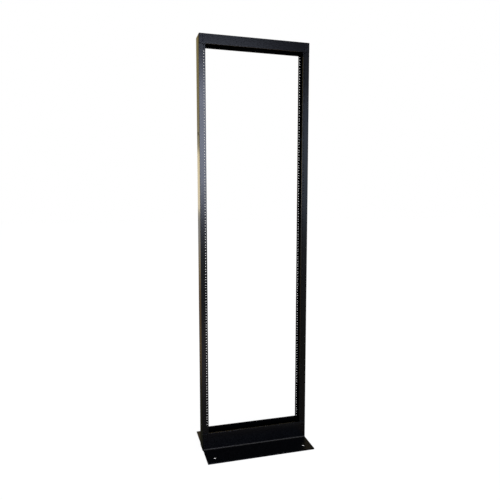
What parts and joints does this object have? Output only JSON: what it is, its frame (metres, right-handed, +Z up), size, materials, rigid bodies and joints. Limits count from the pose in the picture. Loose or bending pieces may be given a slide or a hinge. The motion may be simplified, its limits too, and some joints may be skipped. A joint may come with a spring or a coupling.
{
  "type": "two post open frame rack",
  "caption": "Free-standing open frame rack: drilled channel uprights screwed between flat top angles and wide floor angles, for bolting equipment across its width.",
  "frame": {"origin": "on the floor, in the middle of the footprint", "axes": "+Z up along the uprights, +Y towards the rear, so the front of the rack faces -Y; X across the rack"},
  "size_m": [0.6224, 0.381, 2.286],
  "materials": {
    "upright_coat": "satin black coat",
    "angle_coat": "satin black coat",
    "fastener": "black oxide"
  },
  "bodies": {
    "root": {"left_upright": "upright_coat", "right_upright": "upright_coat", "top_front_angle": "angle_coat", "top_rear_angle": "angle_coat", "base_front_angle": "angle_coat", "base_rear_angle": "angle_coat"}
  },
  "joints": []
}
